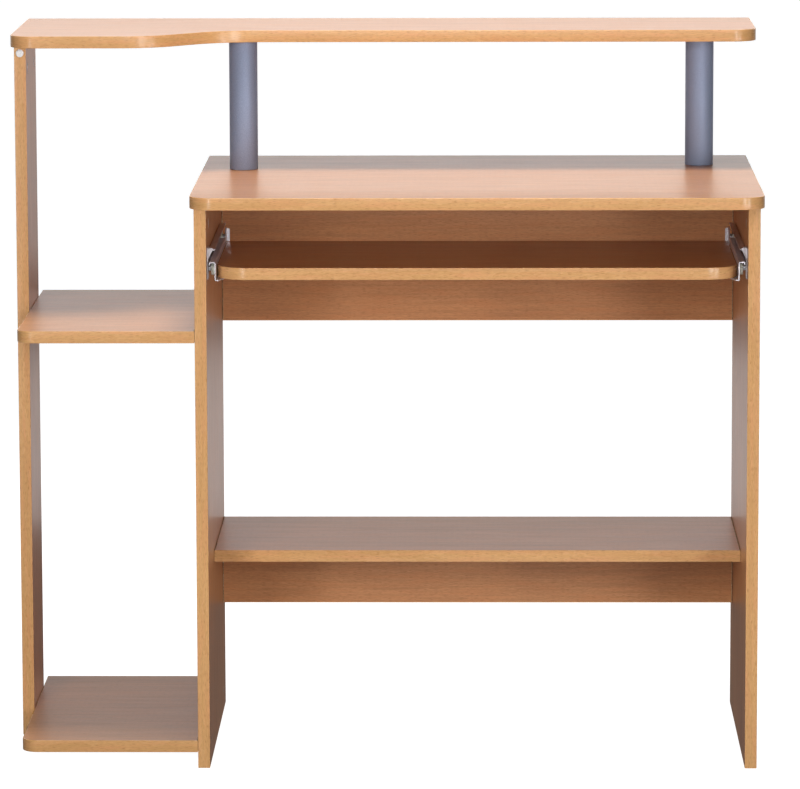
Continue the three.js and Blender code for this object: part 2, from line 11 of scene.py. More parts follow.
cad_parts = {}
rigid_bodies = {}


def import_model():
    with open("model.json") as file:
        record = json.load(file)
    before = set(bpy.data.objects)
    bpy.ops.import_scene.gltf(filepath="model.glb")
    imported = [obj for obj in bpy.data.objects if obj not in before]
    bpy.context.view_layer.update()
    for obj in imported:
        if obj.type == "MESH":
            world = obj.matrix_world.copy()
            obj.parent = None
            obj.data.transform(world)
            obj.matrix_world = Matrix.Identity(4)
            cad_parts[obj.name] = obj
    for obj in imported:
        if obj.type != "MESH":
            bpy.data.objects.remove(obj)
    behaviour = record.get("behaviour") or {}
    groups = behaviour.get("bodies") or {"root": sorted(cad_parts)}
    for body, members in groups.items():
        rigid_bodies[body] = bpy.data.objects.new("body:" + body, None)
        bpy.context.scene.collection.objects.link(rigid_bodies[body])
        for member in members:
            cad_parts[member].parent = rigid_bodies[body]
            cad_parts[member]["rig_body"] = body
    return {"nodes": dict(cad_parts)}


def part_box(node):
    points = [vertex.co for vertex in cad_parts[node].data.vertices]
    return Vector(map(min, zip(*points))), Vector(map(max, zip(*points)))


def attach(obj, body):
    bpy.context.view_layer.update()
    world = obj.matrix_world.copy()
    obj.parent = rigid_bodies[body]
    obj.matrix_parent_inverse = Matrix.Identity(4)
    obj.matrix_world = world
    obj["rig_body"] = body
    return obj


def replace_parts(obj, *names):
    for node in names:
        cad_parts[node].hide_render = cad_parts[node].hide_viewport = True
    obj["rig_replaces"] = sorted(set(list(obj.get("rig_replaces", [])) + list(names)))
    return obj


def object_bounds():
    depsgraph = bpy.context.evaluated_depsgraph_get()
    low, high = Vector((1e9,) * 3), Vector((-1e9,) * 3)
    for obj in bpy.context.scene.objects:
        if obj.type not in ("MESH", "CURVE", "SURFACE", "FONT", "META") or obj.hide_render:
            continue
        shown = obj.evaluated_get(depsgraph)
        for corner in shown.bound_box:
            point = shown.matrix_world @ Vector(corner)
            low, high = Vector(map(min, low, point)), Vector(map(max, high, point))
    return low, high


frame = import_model()
CAD_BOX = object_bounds()

MM = 0.001
rng = random.Random(7)          # picks each board's own stretch of the printed grain


# ---------------------------------------------------------------- node helpers

MIX_INPUTS = {"Factor": 0, "A": 6, "B": 7}      # the sockets of a node that mixes colours
MIX_OUTPUT = 2


class Shader:
    """A material's node tree, with short ways to add and join its nodes."""

    def __init__(self, name):
        self.material = bpy.data.materials.new(name)
        self.material.use_nodes = True
        self.tree = self.material.node_tree
        self.tree.nodes.clear()
        self.surface = self.add("ShaderNodeBsdfPrincipled")
        output = self.add("ShaderNodeOutputMaterial")
        self.join(self.surface, "BSDF", output, "Surface")

    def add(self, kind, **settings):
        node = self.tree.nodes.new(kind)
        for key, value in settings.items():
            setattr(node, key, value)
        return node

    def join(self, source, output, target, socket):
        self.tree.links.new(source.outputs[output], target.inputs[socket])

    def set(self, **values):
        """Fixed values on the surface's own sockets."""
        for key, value in values.items():
            self.surface.inputs[key.replace("_", " ")].default_value = value

    def coordinates(self, kind, scale, offset=(0, 0, 0)):
        """scale is one number for all three axes, or one for each."""
        source = self.add("ShaderNodeTexCoord")
        mapping = self.add("ShaderNodeMapping")
        mapping.inputs["Scale"].default_value = scale if isinstance(scale, tuple) else (scale,) * 3
        mapping.inputs["Location"].default_value = offset
        self.join(source, kind, mapping, "Vector")
        return mapping

    def noise(self, mapping, detail=2.0, roughness=0.5, dimensions="3D", distortion=0.0):
        node = self.add("ShaderNodeTexNoise", noise_dimensions=dimensions)
        node.inputs["Scale"].default_value = 1.0
        node.inputs["Detail"].default_value = detail
        node.inputs["Roughness"].default_value = roughness
        node.inputs["Distortion"].default_value = distortion
        self.join(mapping, "Vector", node, "Vector")
        return node

    def ramp(self, source, output, stops):
        """stops is a list of (position, value), with value a grey or a colour."""
        node = self.add("ShaderNodeValToRGB")
        fill_ramp(node.color_ramp.elements, stops)
        self.join(source, output, node, "Fac")
        return node

    def mix(self, factor, first, second):
        """Mixes two colours, each a (node, output) pair or a fixed colour, and returns such a pair."""
        node = self.add("ShaderNodeMix", data_type="RGBA")
        for socket, value in (("Factor", factor), ("A", first), ("B", second)):
            index = MIX_INPUTS[socket]
            if isinstance(value, tuple) and isinstance(value[0], bpy.types.Node):
                self.join(*value, node, index)
            elif socket == "Factor":
                node.inputs[index].default_value = value
            else:
                node.inputs[index].default_value = (*value, 1)
        return node, MIX_OUTPUT

    def span(self, source, output, low, high):
        """Stretches 0..1 to low..high."""
        node = self.add("ShaderNodeMapRange")
        node.inputs["To Min"].default_value = low
        node.inputs["To Max"].default_value = high
        self.join(source, output, node, "Value")
        return node

    def bump(self, source, output, strength, distance):
        node = self.add("ShaderNodeBump")
        node.inputs["Strength"].default_value = strength
        node.inputs["Distance"].default_value = distance
        self.join(source, output, node, "Height")
        self.join(node, "Normal", self.surface, "Normal")


def fill_ramp(elements, stops):
    """Gives a colour ramp these (position, value) stops and no others."""
    while len(elements) > 1:
        elements.remove(elements[-1])
    for i, (position, value) in enumerate(stops):
        element = elements[0] if i == 0 else elements.new(position)
        element.position = position
        colour = value if isinstance(value, tuple) else (value, value, value)
        element.color = (*colour, 1)


# ---------------------------------------------------------------- materials


def beech(name, light, dark, warm, fleck, roughness):
    """Beech-pattern laminate. UV is in metres, with U along the grain."""
    s = Shader(name)

    def layer(along, across, start, detail, softness, distortion=0.0):
        """Noise with so many waves in a metre along and across the grain."""
        where = s.coordinates("UV", (along, across, 1), (*start, 0))
        return s.noise(where, detail, softness, "2D", distortion)

    broad = layer(2.6, 36, (0, 0), 3, 0.55, 0.5)
    streaks = layer(9, 330, (3, 1), 3, 0.6, 0.15)
    fibres = layer(90, 1500, (7, 5), 2, 0.6)
    warmth = layer(14, 170, (5, 8), 2, 0.5)
    flecks = layer(150, 1700, (11, 9), 1, 0.4)
    gloss = layer(14, 60, (1, 2), 3, 0.6)

    tone = s.mix(0.5, (broad, "Fac"), (streaks, "Fac"))
    tone = s.mix(0.4, tone, (fibres, "Fac"))
    shade = s.ramp(*tone, [(0.4, dark), (0.6, light)])
    warm_share = s.ramp(warmth, "Fac", [(0.45, 0.0), (0.72, 0.6)])
    fleck_share = s.ramp(flecks, "Fac", [(0.57, 0.0), (0.74, 0.5)])
    colour = s.mix((warm_share, "Color"), (shade, "Color"), warm)
    colour = s.mix((fleck_share, "Color"), colour, fleck)
    s.join(*colour, s.surface, "Base Color")

    rough = s.span(gloss, "Fac", roughness - 0.04, roughness + 0.06)
    s.join(rough, "Result", s.surface, "Roughness")
    s.bump(streaks, "Fac", 0.02, 0.1 * MM)
    s.set(IOR=1.5)
    return s.material


def chipboard():
    s = Shader("chipboard_core")
    chips = s.add("ShaderNodeTexVoronoi", feature="F1")
    chips.inputs["Scale"].default_value = 420
    s.join(s.coordinates("Object", 1), "Vector", chips, "Vector")
    tones = [(0.0, (0.26, 0.17, 0.09)), (0.5, (0.45, 0.32, 0.19)), (1.0, (0.62, 0.48, 0.32))]
    shade = s.ramp(chips, "Color", tones)
    s.join(shade, "Color", s.surface, "Base Color")
    s.bump(chips, "Distance", 0.6, 0.4 * MM)
    s.set(Roughness=0.9)
    return s.material


def metallic_paint():
    s = Shader("post_metallic")
    flakes = s.noise(s.coordinates("Object", 2600), detail=1, roughness=0.5)
    shade = s.ramp(flakes, "Fac", [(0.35, (0.24, 0.283, 0.4)), (0.68, (0.34, 0.4, 0.555))])
    s.join(shade, "Color", s.surface, "Base Color")
    wear = s.noise(s.coordinates("Object", (30, 30, 12)), detail=4, roughness=0.6)
    rough = s.span(wear, "Fac", 0.46, 0.58)
    s.join(rough, "Result", s.surface, "Roughness")
    s.bump(flakes, "Fac", 0.05, 0.1 * MM)
    s.set(Metallic=0.3, IOR=1.3)
    return s.material


def plated_steel(name, dark, light, roughness, rolled_along):
    """Zinc plate, with rolling marks along one of the axes X, Y and Z."""
    s = Shader(name)
    scale = tuple(30.0 if axis == rolled_along else 900.0 for axis in "XYZ")
    marks = s.noise(s.coordinates("Object", scale), detail=3, roughness=0.6)
    cloud = s.noise(s.coordinates("Object", 90), detail=4, roughness=0.65)
    tone = s.mix(0.5, (marks, "Fac"), (cloud, "Fac"))
    shade = s.ramp(*tone, [(0.3, dark), (0.7, light)])
    s.join(shade, "Color", s.surface, "Base Color")
    rough = s.span(marks, "Fac", roughness - 0.08, roughness + 0.1)
    s.join(rough, "Result", s.surface, "Roughness")
    s.bump(marks, "Fac", 0.08, 0.1 * MM)
    s.set(Metallic=0.75)
    return s.material


def moulded_plastic(name, dark, light, roughness):
    s = Shader(name)
    cloud = s.noise(s.coordinates("Object", 160), detail=3, roughness=0.6)
    shade = s.ramp(cloud, "Fac", [(0.3, dark), (0.7, light)])
    s.join(shade, "Color", s.surface, "Base Color")
    grain = s.noise(s.coordinates("Object", 2400), detail=2, roughness=0.5)
    rough = s.span(grain, "Fac", roughness - 0.05, roughness + 0.08)
    s.join(rough, "Result", s.surface, "Roughness")
    s.bump(grain, "Fac", 0.1, 0.1 * MM)
    s.set(IOR=1.5)
    return s.material


FACE = beech("beech_face", light=(0.63, 0.295, 0.125), dark=(0.47, 0.205, 0.082),
             warm=(0.6, 0.25, 0.097), fleck=(0.34, 0.12, 0.04), roughness=0.3)
BAND = beech("beech_band", light=(0.74, 0.415, 0.175), dark=(0.63, 0.335, 0.13),
             warm=(0.74, 0.36, 0.16), fleck=(0.4, 0.17, 0.05), roughness=0.26)
CORE = chipboard()
PAINT = metallic_paint()
ZINC = plated_steel("zinc_plate", (0.66, 0.64, 0.68), (0.86, 0.84, 0.88), 0.42, "Y")
STEEL = plated_steel("screw_steel", (0.42, 0.42, 0.44), (0.66, 0.66, 0.68), 0.34, "X")
NYLON = moulded_plastic("roller_nylon", (0.62, 0.65, 0.55), (0.75, 0.78, 0.69), 0.45)
WHITE = moulded_plastic("cap_plastic", (0.82, 0.83, 0.84), (0.92, 0.93, 0.93), 0.35)
GREY = moulded_plastic("plug_plastic", (0.07, 0.075, 0.085), (0.11, 0.115, 0.125), 0.55)

# A board's three materials, in the order of their indexes on its faces.
BOARD_MATERIALS = (FACE, BAND, CORE)
FACE_INDEX, BAND_INDEX, CORE_INDEX = range(3)


# ---------------------------------------------------------------- outlines


def outline(corners, step=5):
    """Points of a closed outline, anticlockwise. A corner (x, y, radius) becomes an arc.

    step is how far one side of an arc turns, in degrees.
    """
    points = []
    for i, (x, y, *rest) in enumerate(corners):
        radius = rest[0] if rest else 0
        corner = Vector((x, y))
        if radius == 0:
            points.append(corner)
            continue
        before = (Vector(corners[i - 1][:2]) - corner).normalized()
        after = (Vector(corners[(i + 1) % len(corners)][:2]) - corner).normalized()
        half = before.angle(after) / 2
        centre = corner + (before + after).normalized() * (radius / math.sin(half))
        start = corner + before * (radius / math.tan(half)) - centre
        side = before.x * after.y - before.y * after.x
        turn = math.copysign(math.pi - 2 * half, -side)
        count = max(2, round(math.degrees(abs(turn)) / step))
        for k in range(count + 1):
            spin = Matrix.Rotation(turn * k / count, 2)
            points.append(centre + spin @ start)
    return points


def offset_inwards(points, distance):
    moved = []
    for i, point in enumerate(points):
        before = (point - points[i - 1]).normalized()
        after = (points[(i + 1) % len(points)] - point).normalized()
        inward_before = Vector((-before.y, before.x))
        inward_after = Vector((-after.y, after.x))
        bisector = (inward_before + inward_after).normalized()
        moved.append(point + bisector * (distance / bisector.dot(inward_after)))
    return moved


# How an outline's two coordinates and a level above it are put into space.


def in_plan(x, y, z):
    return (x, y, z)


def in_side_view(y, z, x):
    return (x, y, z)


def in_front_view(x, z, forward):
    return (x, -forward, z)


LEFT, RIGHT, DOWN, UPWARDS = (-1, 0), (1, 0), (0, -1), (0, 1)


# ---------------------------------------------------------------- boards

# Section of a board's edge: (distance in from the edge, depth below the face), in millimetres.
# A fine groove parts the face from its band, and the band's arris is rounded.
EDGE_SECTION = [(1.15, 0), (1.0, 0.06), (0.85, 0), (0.5, 0.03), (0.2, 0.2), (0.04, 0.5), (0, 0.85)]
ARRIS = [(inset * MM, depth * MM) for inset, depth in EDGE_SECTION]
BOARD_SHARP = math.radians(40)      # edges that turn by more than this are sharp
SAME_WAY = 0.99                     # two directions with a dot product over this are the same

PRINT_LENGTH = 9                    # metres of print that the boards are cut from
FACE_SHIFTS = (7, 3)                # how far the print moves on for each metre of depth

TOP_CORNER = 30 * MM                # front corners of the desktop and the monitor shelf
TRAY_CORNER = 40 * MM               # front corners of the keyboard tray
BAY_CORNER = 20 * MM                # front left corner of the bay's shelves
DEEP_END = 178 * MM                 # the monitor shelf is deep from its left end to here
SHALLOW_START = 262 * MM            # and shallow from here, with a swept edge between them
SWEEP_DEPTH = 90 * MM
SWEEP_OUT, SWEEP_IN = 90 * MM, 110 * MM     # radii of the swept edge's two curves


def board(name, corners, low, high, to_space, grain_axis=0, raw=(), body="desk"):
    """A laminated board: corners is its outline, low and high its two faces.

    grain_axis says which of the outline's two coordinates the grain runs along. raw lists the
    outline's directions, as (x, y) normals, whose edges have no band.
    """
    points = outline(corners)
    count = len(points)
    sections = [(inset, low + depth) for inset, depth in ARRIS]
    sections += [(inset, high - depth) for inset, depth in reversed(ARRIS)]
    spans = [(points[(i + 1) % count] - points[i]).length for i in range(count)]
    run = [sum(spans[:i]) for i in range(count + 1)]
    shift = Vector((rng.uniform(0, PRINT_LENGTH), rng.uniform(0, PRINT_LENGTH)))

    mesh = bmesh.new()
    uv = mesh.loops.layers.uv.new("grain")
    rings = []
    for inset, level in sections:
        ring = offset_inwards(points, inset)
        rings.append([(mesh.verts.new(to_space(p.x, p.y, level)), p, level) for p in ring])

    def is_raw(i):
        along = (points[(i + 1) % count] - points[i]).normalized()
        outward = Vector((along.y, -along.x))
        return any(outward.dot(Vector(direction)) > SAME_WAY for direction in raw)

    for lower, upper in zip(rings, rings[1:]):
        for i in range(count):
            j = (i + 1) % count
            around = [(lower[i], run[i]), (lower[j], run[i + 1])]
            around += [(upper[j], run[i + 1]), (upper[i], run[i])]
            face = mesh.faces.new([vert for (vert, _, _), _ in around])
            face.smooth = True
            face.material_index = CORE_INDEX if is_raw(i) else BAND_INDEX
            for loop, ((_, _, level), distance) in zip(face.loops, around):
                loop[uv].uv = (distance + shift.x, level + shift.y)

    for ring in (list(reversed(rings[0])), rings[-1]):
        face = mesh.faces.new([vert for vert, _, _ in ring])
        face.material_index = FACE_INDEX
        for loop, (_, p, level) in zip(face.loops, ring):
            along, across = (p.x, p.y) if grain_axis == 0 else (p.y, p.x)
            u = along + shift.x + level * FACE_SHIFTS[0]
            v = across + shift.y + level * FACE_SHIFTS[1]
            loop[uv].uv = (u, v)

    data = bpy.data.meshes.new(name)
    bmesh.ops.recalc_face_normals(mesh, faces=mesh.faces)
    mesh.to_mesh(data)
    mesh.free()
    shade_board(data)
    for material in BOARD_MATERIALS:
        data.materials.append(material)
    return place(name, data, body)


def shade_board(data):
    """Smooth edges round flat faces. Marking the sharp edges smooths every face, so it comes first."""
    data.set_sharp_from_angle(angle=BOARD_SHARP)
    for face in data.polygons:
        face.use_smooth = face.material_index != FACE_INDEX


def place(name, data, body):
    piece = bpy.data.objects.new(name, data)
    bpy.context.scene.collection.objects.link(piece)
    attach(piece, body)
    return piece


def replace_board(node, shape, **options):
    """shape takes the node's box and returns the outline, the two faces and the view of board()."""
    low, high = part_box(node)
    corners, faces, to_space = shape(low, high)
    piece = board(node + "_laminate", corners, *faces, to_space, **options)
    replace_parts(piece, node)


def top_with_corners(left_radius, right_radius):
    """A level board with rounded front corners."""
    def shape(low, high):
        corners = [
            (low.x, low.y, left_radius),
            (high.x, low.y, right_radius),
            (high.x, high.y),
            (low.x, high.y),
        ]
        return corners, (low.z, high.z), in_plan
    return shape


def side_board(low, high):
    corners = [(low.y, low.z), (high.y, low.z), (high.y, high.z), (low.y, high.z)]
    return corners, (low.x, high.x), in_side_view


def cross_board(low, high):
    corners = [(low.x, low.z), (high.x, low.z), (high.x, high.z), (low.x, high.z)]
    return corners, (-high.y, -low.y), in_front_view


def monitor_shelf(low, high):
    deep, shallow = low.y, low.y + SWEEP_DEPTH
    corners = [
        (low.x, deep, TOP_CORNER),
        (low.x + DEEP_END, deep, SWEEP_OUT),
        (low.x + SHALLOW_START, shallow, SWEEP_IN),
        (high.x, shallow, TOP_CORNER),
        (high.x, high.y),
        (low.x, high.y),
    ]
    return corners, (low.z, high.z), in_plan


def add_boards():
    replace_board("desktop", top_with_corners(TOP_CORNER, TOP_CORNER))
    replace_board("monitor_shelf", monitor_shelf)
    replace_board("keyboard_tray", top_with_corners(TRAY_CORNER, TRAY_CORNER), body="tray")
    for node in ("middle_shelf", "bottom_shelf"):
        replace_board(node, top_with_corners(BAY_CORNER, 0), raw=(RIGHT,))
    replace_board("lower_shelf", top_with_corners(0, 0), raw=(LEFT, RIGHT))
    for node in ("left_side_panel", "right_side_panel", "upright"):
        replace_board(node, side_board, grain_axis=1, raw=(DOWN, UPWARDS))
    for node in ("upper_back_panel", "lower_stretcher"):
        replace_board(node, cross_board, raw=(LEFT, RIGHT, UPWARDS))


# ---------------------------------------------------------------- turned and folded shapes

SHARP = math.radians(35)            # edges that turn by more than this are sharp
CHAMFER_FROM = math.radians(50)     # and by more than this get a chamfer on a folded sheet


def turned(profile, start, direction, segments=48):
    """A lathe mesh: profile is (radius, distance) pairs in millimetres, from start along direction.

    It closes on itself, or starts and ends on the axis.
    """
    axis = Vector(direction).normalized()
    spin = Vector((0, 0, 1)).rotation_difference(axis).to_matrix()
    mesh = bmesh.new()
    rings = []
    for radius, distance in profile:
        steps = segments if radius > 0 else 1
        angles = [2 * math.pi * k / steps for k in range(steps)]
        offsets = [Vector((math.cos(t) * radius, math.sin(t) * radius, distance)) * MM for t in angles]
        rings.append([mesh.verts.new(Vector(start) + spin @ offset) for offset in offsets])
    pairs = list(zip(rings, rings[1:]))
    if profile[0][0] > 0:
        pairs.append((rings[-1], rings[0]))
    for first, second in pairs:
        for k in range(segments):
            j = (k + 1) % segments
            around = [first[k % len(first)], first[j % len(first)]]
            around += [second[j % len(second)], second[k % len(second)]]
            corners = list(dict.fromkeys(around))
            if len(corners) > 2:
                mesh.faces.new(corners)
    return finished_mesh(mesh)


def prism(corners, start, end, to_space, step=15):
    """An outline, as (a, b) or (a, b, radius) corners, drawn out from start to end."""
    points = outline(corners, step)
    mesh = bmesh.new()
    near = [mesh.verts.new(to_space(p.x, p.y, start)) for p in points]
    far = [mesh.verts.new(to_space(p.x, p.y, end)) for p in points]
    mesh.faces.new(near)
    mesh.faces.new(far)
    for i in range(len(points)):
        mesh.faces.new([near[i - 1], near[i], far[i], far[i - 1]])
    return finished_mesh(mesh)


def finished_mesh(mesh):
    bmesh.ops.recalc_face_normals(mesh, faces=mesh.faces)
    for face in mesh.faces:
        face.smooth = True
    data = bpy.data.meshes.new("work")
    mesh.to_mesh(data)
    mesh.free()
    data.set_sharp_from_angle(angle=SHARP)
    return data


def work_object(data):
    piece = bpy.data.objects.new("work", data)
    bpy.context.scene.collection.objects.link(piece)
    return piece


def result_of(piece):
    """The mesh with its modifiers applied; the working object goes."""
    ready = piece.evaluated_get(bpy.context.evaluated_depsgraph_get())
    data = bpy.data.meshes.new_from_object(ready)
    bpy.data.objects.remove(piece)
    return data


def split_faces(data):
    """Splits faces of more than four corners into triangles, so that none wraps round a hole."""
    mesh = bmesh.new()
    mesh.from_mesh(data)
    bmesh.ops.triangulate(mesh, faces=[face for face in mesh.faces if len(face.verts) > 4])
    mesh.to_mesh(data)
    mesh.free()


def combined(data, others, operation):
    """A boolean of data with each of the other meshes: UNION or DIFFERENCE."""
    piece = work_object(data)
    tools = [work_object(other) for other in others]
    for tool in tools:
        modifier = piece.modifiers.new("step", "BOOLEAN")
        modifier.operation = operation
        modifier.object = tool
        modifier.solver = "EXACT"
    made = result_of(piece)
    for tool in tools:
        bpy.data.objects.remove(tool)
    return made


def chamfered(data, width):
    """Breaks the sharp edges, as a deburred sheet has."""
    piece = work_object(data)
    modifier = piece.modifiers.new("edges", "BEVEL")
    modifier.width = width
    modifier.segments = 1
    modifier.limit_method = "ANGLE"
    modifier.angle_limit = CHAMFER_FROM
    made = result_of(piece)
    made.set_sharp_from_angle(angle=SHARP)
    return made


def stand_in(node, data, material, name=None):
    """The visible piece for a CAD node: it rides on the node's body and takes its slot."""
    split_faces(data)
    data.materials.clear()
    data.materials.append(material)
    body = frame["nodes"][node]["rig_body"]
    piece = place(name or node + "_visual", data, body)
    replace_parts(piece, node)


def laid(master, start, direction):
    """A copy of a mesh drawn along z, moved to start and turned to direction."""
    spin = Vector((0, 0, 1)).rotation_difference(Vector(direction)).to_matrix().to_4x4()
    data = master.copy()
    data.transform(Matrix.Translation(start) @ spin)
    return data


def nodes_with(word):
    return [node for node in sorted(frame["nodes"]) if word in node]


def middle(low, high, **known):
    """The middle of a box, with the given coordinates instead."""
    point = (low + high) / 2
    for axis, value in known.items():
        setattr(point, axis, value)
    return point


# ---------------------------------------------------------------- screws, cams and bolts

# Turned pieces are drawn in millimetres along z, and radii are given rather than diameters.
ORIGIN, ALONG_Z = (0, 0, 0), (0, 0, 1)
SCREW_SIDES = 32
CLEAR = 0.3             # play round a screw, a cam, a bolt or a cap in its hole
PAST = 1                # how far a cutter reaches past the face that it cuts

CONFIRMAT = {           # a one-piece joining screw
    "head": 4.9,
    "soft": 0.25,       # the chamfer of the head
    "rim": 1.0,         # the straight part of the head, above its cone
    "shank": 3.4,
    "plain": 14,        # where the thread starts
    "ridge": 0.8,       # the depth of the thread
    "pitch": 3,
    "point": 1,
    "tip": 4,           # the length of the point
    "length": 50,
    "sunk": 0.2,        # how far the head lies below the board's face
    "across_flats": 4.0,
    "socket_depth": 3,
}
CAM = {                 # the drum of a cam lock
    "radius": 7.2,
    "depth": 12,
    "soft": 0.4,        # the chamfers, and how far the face lies below the rim
    "face": 5.7,
    "rim": 6.0,
    "slot": (4.5, 0.8),         # reach and half width of the cross
    "slot_depth": 2,
    "mouth": 3.8,       # where the bolt goes in
    "mouth_level": 7.3,         # below the slotted face
    "mouth_back": 3,    # how far the mouth goes past the drum's axis
    "arrow": (1.2, 4.9),        # half width, and where it starts
    "arrow_depth": 0.7,
    "pocket_depth": 12.4,
}
BOLT_SHANK = 3
BOLT_FOOT = 3.1

cutters = []            # the meshes that the boards are drilled with


def hexagon(across_flats):
    reach = across_flats / math.sqrt(3) * MM
    return [(reach * math.cos(k * math.pi / 3), reach * math.sin(k * math.pi / 3)) for k in range(6)]


def cross(reach, half_width):
    """The outline of a cross slot, round the origin."""
    a, b = reach * MM, half_width * MM
    quarter = [(b, -a), (b, -b), (a, -b)]
    corners = []
    for _ in range(4):
        corners += quarter
        quarter = [(-y, x) for x, y in quarter]
    return corners


def cut_in(data, corners, depth):
    """A socket or a slot in a face at z = 0."""
    return combined(data, [prism(corners, -PAST * MM, depth * MM, in_plan)], "DIFFERENCE")


def thread(radius, ridge, start, end, pitch):
    """Profile points of a thread's ridges."""
    points = []
    for k in range(round((end - start) / pitch)):
        points += [(radius - ridge, start + k * pitch), (radius, start + (k + 0.5) * pitch)]
    return points


def bore(radius, start, end):
    """Profile of a plain hole."""
    return [(0, start), (radius, start), (radius, end), (0, end)]


def confirmat():
    """Its axis is z, and the board's face is z = 0."""
    c = CONFIRMAT
    head, shank, sunk, soft = c["head"], c["shank"], c["sunk"], c["soft"]
    cone_start = sunk + c["rim"]
    profile = [(0, sunk), (head - soft, sunk), (head, sunk + soft), (head, cone_start)]
    profile += [(shank, cone_start + (head - shank)), (shank, c["plain"])]
    profile += thread(shank, c["ridge"], c["plain"], c["length"] - c["tip"], c["pitch"])
    profile += [(c["point"], c["length"]), (0, c["length"])]
    screw = turned(profile, ORIGIN, ALONG_Z, SCREW_SIDES)
    return cut_in(screw, hexagon(c["across_flats"]), c["socket_depth"])


def confirmat_hole():
    c = CONFIRMAT
    wide, narrow = c["head"] + CLEAR, c["shank"] + CLEAR
    cone_start = c["sunk"] + c["rim"]
    end = c["length"] + CLEAR
    profile = [(0, -PAST), (wide, -PAST), (wide, cone_start), (narrow, cone_start + wide - narrow)]
    profile += [(narrow, end), (0, end)]
    return turned(profile, ORIGIN, ALONG_Z, SCREW_SIDES)


def cam():
    """Its axis is z, its slotted face is z = 0, and its mouth opens towards y."""
    c = CAM
    radius, depth, soft = c["radius"], c["depth"], c["soft"]
    profile = [(0, soft), (c["face"], soft), (c["rim"], 0), (radius - soft, 0), (radius, soft)]
    profile += [(radius, depth - soft), (radius - soft, depth), (0, depth)]
    drum = turned(profile, ORIGIN, ALONG_Z)
    slot = prism(cross(*c["slot"]), -PAST * MM, c["slot_depth"] * MM, in_plan)
    mouth_start = (0, 0, c["mouth_level"] * MM)
    mouth = turned(bore(c["mouth"], -c["mouth_back"], depth), mouth_start, (0, 1, 0), segments=24)
    half, tail = (size * MM for size in c["arrow"])
    arrow = prism([(-half, tail), (half, tail), (0, c["face"] * MM)],
                  -PAST * MM, c["arrow_depth"] * MM, in_plan)
    return combined(drum, [slot, mouth, arrow], "DIFFERENCE")


def mouth_up(direction):
    """Turns a cam's z to direction and its mouth upwards."""
    inward = Vector(direction)
    up = Vector((0, 0, 1))
    return Matrix((up.cross(inward), up, inward)).transposed().to_4x4()


def cam_bolt(length):
    """It hangs from the board above: its foot, at z = 0, is held in the cam."""
    neck, foot_top, collar = 1.9, 2.5, 6
    soft, shank_soft = 0.6, 0.4
    threaded = 10
    profile = [(0, 0), (BOLT_FOOT - soft, 0), (BOLT_FOOT, soft), (BOLT_FOOT, foot_top - soft)]
    profile += [(BOLT_FOOT - soft, foot_top), (neck, foot_top), (neck, collar)]
    profile += [(BOLT_SHANK - shank_soft, collar), (BOLT_SHANK, collar + shank_soft)]
    profile += [(BOLT_SHANK, length - threaded)]
    profile += thread(BOLT_SHANK, 0.5, length - threaded, length - 1, pitch=1.5)
    profile += [(2, length), (0, length)]
    return turned(profile, ORIGIN, ALONG_Z, SCREW_SIDES)


def post_bolt(length):
    """A pan head at z = 0, under the desktop, with a long shank."""
    head, head_top, threaded = 7, 2.7, 8
    profile = [(0, 0), (4.2, 0.05), (5.8, 0.4), (6.8, 1.2), (head, 1.9), (head, head_top)]
    profile += [(BOLT_SHANK, head_top), (BOLT_SHANK, length - threaded)]
    profile += thread(BOLT_SHANK, 0.4, length - threaded, length - 0.8, pitch=1.2)
    profile += [(2.4, length), (0, length)]
    bolt = turned(profile, ORIGIN, ALONG_Z, segments=40)
    return cut_in(bolt, cross(reach=3.0, half_width=0.6), depth=1.6)


def slide_screw():
    """A low countersunk screw: its head stands 0.35 mm proud of z = 0."""
    shank, end, tip = 1.8, 9, 12
    profile = [(0, -0.35), (2.2, -0.33), (3.2, -0.2), (3.6, 0.1), (shank, 1.6), (shank, end), (0, tip)]
    screw = turned(profile, ORIGIN, ALONG_Z, segments=24)
    return cut_in(screw, cross(reach=1.8, half_width=0.4), depth=0.9)


def add_screws():
    master, hole = confirmat(), confirmat_hole()
    for node in nodes_with("_screw_"):
        low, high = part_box(node)
        inward = 1 if "_left" in node else -1
        face = (low.x if inward > 0 else high.x) - inward * CONFIRMAT["sunk"] * MM
        start, direction = middle(low, high, x=face), (inward, 0, 0)
        stand_in(node, laid(master, start, direction), STEEL)
        cutters.append(laid(hole, start, direction))


def add_cams():
    master = cam()
    pocket = turned(bore(CAM["radius"] + CLEAR, -PAST, CAM["pocket_depth"]), ORIGIN, ALONG_Z)
    for node in nodes_with("_cam"):
        low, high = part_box(node)
        inward = 1 if node.startswith("right") else -1
        face = low.x if inward > 0 else high.x
        start, direction = middle(low, high, x=face), (inward, 0, 0)
        drum = master.copy()
        drum.transform(mouth_up(direction))
        drum.transform(Matrix.Translation(start))
        stand_in(node, drum, ZINC)
        cutters.append(laid(pocket, start, direction))


def add_bolts():
    for node in nodes_with("_bolt"):
        low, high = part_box(node)
        length = (high.z - low.z) / MM
        start = middle(low, high, z=low.z)
        make, radius = (post_bolt, BOLT_SHANK) if node.startswith("post") else (cam_bolt, BOLT_FOOT)
        stand_in(node, laid(make(length), start, ALONG_Z), STEEL)
        hole = bore(radius + CLEAR, -CLEAR, length + CLEAR)
        cutters.append(turned(hole, start, ALONG_Z, SCREW_SIDES))


